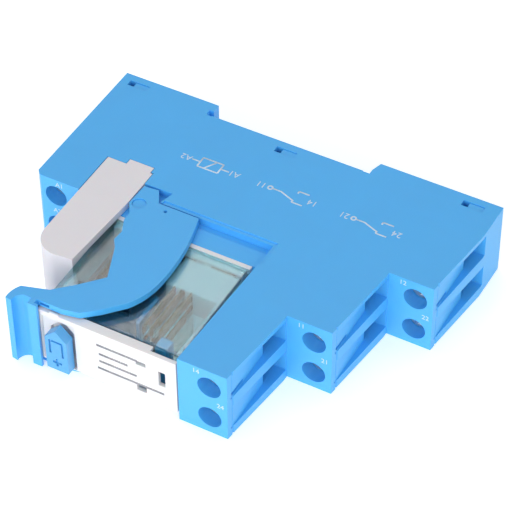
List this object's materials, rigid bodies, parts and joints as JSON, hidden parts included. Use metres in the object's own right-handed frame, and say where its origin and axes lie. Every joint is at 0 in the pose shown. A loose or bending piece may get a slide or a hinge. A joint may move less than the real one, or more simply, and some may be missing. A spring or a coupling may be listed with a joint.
{
  "type": "plug-in relay with rail socket",
  "caption": "Narrow plug-in control relay in a stepped rail socket, with screw clamps, swinging retaining clip, test button and indicator module.",
  "frame": {"origin": "centre of the rail seat, at half the thickness", "axes": "+Z is the thickness, the way the rail runs; +X points to the stepped contact tiers; +Y to the rail"},
  "size_m": [0.0814, 0.064, 0.0158],
  "materials": {
    "socket_blue": "satin moulded",
    "clip_blue": "satin moulded",
    "latch_blue": "satin moulded",
    "button_blue": "satin moulded",
    "frame_blue": "satin moulded",
    "divider_plastic": "moulded",
    "module_grey": "fine texture",
    "relay_white": "satin",
    "clear_tint": "clear, tinted",
    "bus_brass": "stamped",
    "contact_tin": "tinned",
    "leaf_copper": "rolled",
    "rivet_silver": "polished",
    "screw_steel": "zinc plated",
    "cage_steel": "zinc plated",
    "spring_steel": "drawn wire",
    "core_iron": "nickel plated",
    "bobbin_black": "moulded",
    "winding_copper": "enamelled wire",
    "board_green": "solder mask",
    "component_body": "moulded",
    "lamp_lens": "clear, tinted"
  },
  "bodies": {
    "socket": {"housing_body": "socket_blue", "housing_cover": "socket_blue", "terminal_dividers": "divider_plastic", "open_bus": "bus_brass", "common_bus": "bus_brass", "closed_bus": "bus_brass", "coil_bus": "bus_brass", "rail_latch_spring": "spring_steel"},
    "rail_latch": {"rail_latch": "latch_blue"},
    "clip": {"retaining_clip": "clip_blue"},
    "module": {"module_shell": "module_grey", "module_lid": "module_grey", "module_board": "board_green", "module_components": "component_body", "module_lamp": "lamp_lens", "module_blades": "bus_brass"},
    "relay": {"relay_base": "relay_white", "relay_cover": "clear_tint", "label_plate": "relay_white", "inner_frame": "frame_blue", "coil_bobbin": "bobbin_black", "coil_winding": "winding_copper", "coil_core": "core_iron", "coil_yoke": "core_iron", "coil_terminals": "contact_tin", "common_terminals": "contact_tin", "open_contacts": "leaf_copper", "closed_contacts": "leaf_copper", "fixed_rivets": "rivet_silver", "test_button_spring": "spring_steel"},
    "armature": {"armature": "core_iron"},
    "card": {"actuator_card": "frame_blue"},
    "moving_contacts": {"moving_leaves": "leaf_copper", "moving_rivets": "rivet_silver"},
    "button": {"test_button": "button_blue"},
    "screw_1": {"terminal_screw_1": "screw_steel"},
    "cage_1": {"clamp_cage_1": "cage_steel"},
    "screw_2": {"terminal_screw_2": "screw_steel"},
    "cage_2": {"clamp_cage_2": "cage_steel"},
    "screw_3": {"terminal_screw_3": "screw_steel"},
    "cage_3": {"clamp_cage_3": "cage_steel"},
    "screw_4": {"terminal_screw_4": "screw_steel"},
    "cage_4": {"clamp_cage_4": "cage_steel"},
    "screw_5": {"terminal_screw_5": "screw_steel"},
    "cage_5": {"clamp_cage_5": "cage_steel"},
    "screw_6": {"terminal_screw_6": "screw_steel"},
    "cage_6": {"clamp_cage_6": "cage_steel"},
    "screw_7": {"terminal_screw_7": "screw_steel"},
    "cage_7": {"clamp_cage_7": "cage_steel"},
    "screw_8": {"terminal_screw_8": "screw_steel"},
    "cage_8": {"clamp_cage_8": "cage_steel"}
  },
  "joints": [
    {"name": "clip_swing", "type": "hinge", "parent": "socket", "child": "clip", "pos_m": [-0.017, -0.0279, 0], "axis": [0, 0, 1], "range_deg": [-9, 0]},
    {"name": "relay_slide", "type": "slide", "parent": "socket", "child": "relay", "axis": [0, -1, 0], "range_m": [0, 0.00135]},
    {"name": "module_slide", "type": "slide", "parent": "socket", "child": "module", "axis": [0, -1, 0], "range_m": [0, 0.005]},
    {"name": "rail_latch_slide", "type": "slide", "parent": "socket", "child": "rail_latch", "axis": [1, 0, 0], "range_m": [0, 0.0014], "stiffness_N_per_m": 800, "deforming": ["rail_latch_spring"]},
    {"name": "test_button_push", "type": "slide", "parent": "relay", "child": "button", "axis": [0, 1, 0], "range_m": [0, 0.0012], "stiffness_N_per_m": 400, "deforming": ["test_button_spring"]},
    {"name": "armature_tilt", "type": "hinge", "parent": "relay", "child": "armature", "pos_m": [-0.0049, -0.0513, 0], "axis": [0, 0, 1], "range_deg": [-4, 0]},
    {"name": "card_slide", "type": "slide", "parent": "relay", "child": "card", "axis": [1, 0, 0], "range_m": [0, 0.00046]},
    {"name": "contact_flex", "type": "hinge", "parent": "relay", "child": "moving_contacts", "pos_m": [0.00005, -0.036, 0], "axis": [0, 0, 1], "range_deg": [0, 1.87]},
    {"name": "screw_1_turn", "type": "hinge", "parent": "socket", "child": "screw_1", "pos_m": [0.0154, -0.0586, 0.00375], "axis": [0, 1, 0], "range_deg": [0, 1800]},
    {"name": "cage_1_rise", "type": "slide", "parent": "socket", "child": "cage_1", "axis": [0, -1, 0], "range_m": [0, 0.0025]},
    {"name": "screw_2_turn", "type": "hinge", "parent": "socket", "child": "screw_2", "pos_m": [0.0154, -0.0586, -0.00395], "axis": [0, 1, 0], "range_deg": [0, 1800]},
    {"name": "cage_2_rise", "type": "slide", "parent": "socket", "child": "cage_2", "axis": [0, -1, 0], "range_m": [0, 0.0025]},
    {"name": "screw_3_turn", "type": "hinge", "parent": "socket", "child": "screw_3", "pos_m": [0.0264, -0.04035, 0.00375], "axis": [0, 1, 0], "range_deg": [0, 1800]},
    {"name": "cage_3_rise", "type": "slide", "parent": "socket", "child": "cage_3", "axis": [0, -1, 0], "range_m": [0, 0.0025]},
    {"name": "screw_4_turn", "type": "hinge", "parent": "socket", "child": "screw_4", "pos_m": [0.0264, -0.04035, -0.00395], "axis": [0, 1, 0], "range_deg": [0, 1800]},
    {"name": "cage_4_rise", "type": "slide", "parent": "socket", "child": "cage_4", "axis": [0, -1, 0], "range_m": [0, 0.0025]},
    {"name": "screw_5_turn", "type": "hinge", "parent": "socket", "child": "screw_5", "pos_m": [0.0374, -0.0221, 0.00375], "axis": [0, 1, 0], "range_deg": [0, 1800]},
    {"name": "cage_5_rise", "type": "slide", "parent": "socket", "child": "cage_5", "axis": [0, -1, 0], "range_m": [0, 0.0025]},
    {"name": "screw_6_turn", "type": "hinge", "parent": "socket", "child": "screw_6", "pos_m": [0.0374, -0.0221, -0.00395], "axis": [0, 1, 0], "range_deg": [0, 1800]},
    {"name": "cage_6_rise", "type": "slide", "parent": "socket", "child": "cage_6", "axis": [0, -1, 0], "range_m": [0, 0.0025]},
    {"name": "screw_7_turn", "type": "hinge", "parent": "socket", "child": "screw_7", "pos_m": [-0.0342, -0.03, 0.00375], "axis": [0, 1, 0], "range_deg": [0, 1800]},
    {"name": "cage_7_rise", "type": "slide", "parent": "socket", "child": "cage_7", "axis": [0, -1, 0], "range_m": [0, 0.0025]},
    {"name": "screw_8_turn", "type": "hinge", "parent": "socket", "child": "screw_8", "pos_m": [-0.0342, -0.03, -0.00395], "axis": [0, 1, 0], "range_deg": [0, 1800]},
    {"name": "cage_8_rise", "type": "slide", "parent": "socket", "child": "cage_8", "axis": [0, -1, 0], "range_m": [0, 0.0025]}
  ],
  "couplings": [
    {"joint": "clip_swing", "follows": "relay_slide", "rad_per_m": -116.35},
    {"joint": "armature_tilt", "follows": "card_slide", "rad_per_m": -151.7},
    {"joint": "contact_flex", "follows": "card_slide", "rad_per_m": 70.9},
    {"joint": "screw_1_turn", "follows": "cage_1_rise", "rad_per_m": 12566},
    {"joint": "screw_2_turn", "follows": "cage_2_rise", "rad_per_m": 12566},
    {"joint": "screw_3_turn", "follows": "cage_3_rise", "rad_per_m": 12566},
    {"joint": "screw_4_turn", "follows": "cage_4_rise", "rad_per_m": 12566},
    {"joint": "screw_5_turn", "follows": "cage_5_rise", "rad_per_m": 12566},
    {"joint": "screw_6_turn", "follows": "cage_6_rise", "rad_per_m": 12566},
    {"joint": "screw_7_turn", "follows": "cage_7_rise", "rad_per_m": 12566},
    {"joint": "screw_8_turn", "follows": "cage_8_rise", "rad_per_m": 12566}
  ]
}
